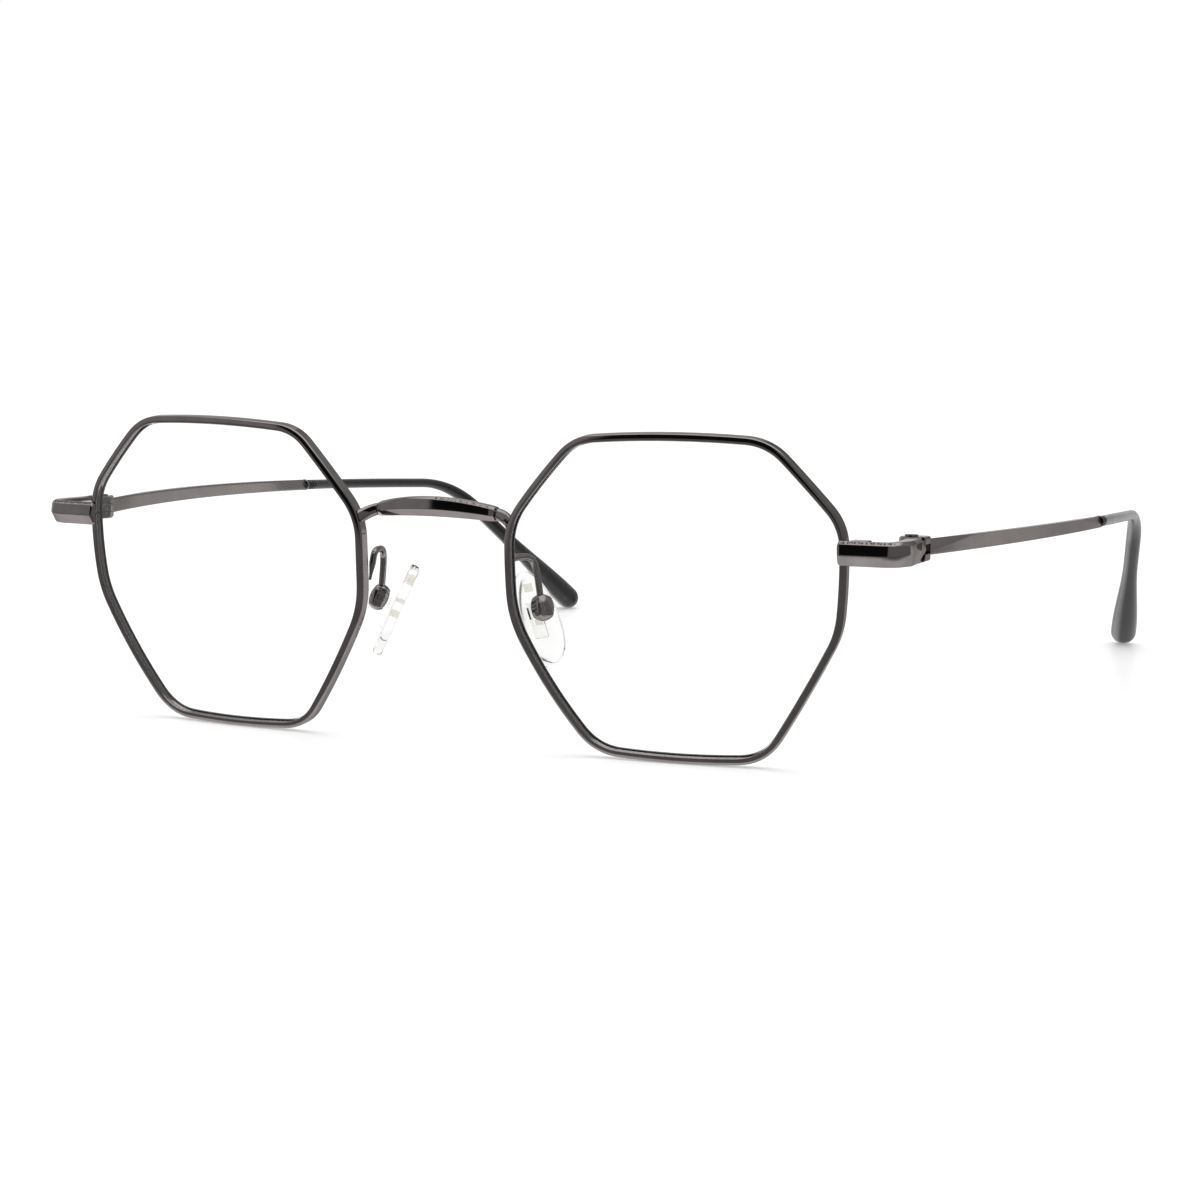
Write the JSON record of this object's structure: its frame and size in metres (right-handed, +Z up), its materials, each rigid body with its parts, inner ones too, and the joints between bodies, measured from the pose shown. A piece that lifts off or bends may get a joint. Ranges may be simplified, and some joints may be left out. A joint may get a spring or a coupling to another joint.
{
  "type": "eyeglasses",
  "caption": "Metal eyeglasses with clear many-sided lenses in thin wire rims, an arched bridge, adjustable clear nose pads and folding temples with dark plastic tips.",
  "frame": {"origin": "under the middle of the object's box, on the surface that it stands on with the temples open", "axes": "+X to the wearer's left, +Y back along the temples towards the ears, +Z up"},
  "size_m": [0.1416, 0.1694, 0.0443],
  "materials": {
    "gunmetal": "polished gunmetal plate on metal",
    "screw_steel": "dark plated steel screws",
    "tip_plastic": "satin dark grey plastic",
    "pad_plastic": "clear soft plastic",
    "lens": "clear uncoated lens plastic"
  },
  "bodies": {
    "front": {"bridge": "gunmetal", "left_rim": "gunmetal", "left_lens": "lens", "left_endpiece": "gunmetal", "left_rim_lock_upper": "gunmetal", "left_rim_lock_lower": "gunmetal", "left_rim_lock_screw": "screw_steel", "left_front_hinge": "gunmetal", "left_pad_arm": "gunmetal", "left_pad_box": "gunmetal", "left_pad_screw": "screw_steel", "right_rim": "gunmetal", "right_lens": "lens", "right_endpiece": "gunmetal", "right_rim_lock_upper": "gunmetal", "right_rim_lock_lower": "gunmetal", "right_rim_lock_screw": "screw_steel", "right_front_hinge": "gunmetal", "right_pad_arm": "gunmetal", "right_pad_box": "gunmetal", "right_pad_screw": "screw_steel"},
    "left_temple_assembly": {"left_temple_hinge": "gunmetal", "left_hinge_screw": "screw_steel", "left_temple": "gunmetal", "left_temple_tip": "tip_plastic", "left_tip_ring": "gunmetal"},
    "right_temple_assembly": {"right_temple_hinge": "gunmetal", "right_hinge_screw": "screw_steel", "right_temple": "gunmetal", "right_temple_tip": "tip_plastic", "right_tip_ring": "gunmetal"},
    "left_pad_assembly": {"left_pad_stem": "pad_plastic", "left_nose_pad": "pad_plastic"},
    "right_pad_assembly": {"right_pad_stem": "pad_plastic", "right_nose_pad": "pad_plastic"}
  },
  "joints": [
    {"name": "left_temple_fold", "type": "hinge", "parent": "front", "child": "left_temple_assembly", "pos_m": [0.06283, -0.06849, 0.02941], "axis": [0, 0, 1], "range_deg": [0, 90]},
    {"name": "right_temple_fold", "type": "hinge", "parent": "front", "child": "right_temple_assembly", "pos_m": [-0.06283, -0.06849, 0.02941], "axis": [0, 0, -1], "range_deg": [0, 85]},
    {"name": "left_pad_rock", "type": "hinge", "parent": "front", "child": "left_pad_assembly", "pos_m": [0.0126, -0.07464, 0.01934], "axis": [0.479, 0.8707, -0.1117], "range_deg": [-8, 8]},
    {"name": "right_pad_rock", "type": "hinge", "parent": "front", "child": "right_pad_assembly", "pos_m": [-0.0126, -0.07464, 0.01934], "axis": [0.479, -0.8707, 0.1117], "range_deg": [-8, 8]}
  ]
}
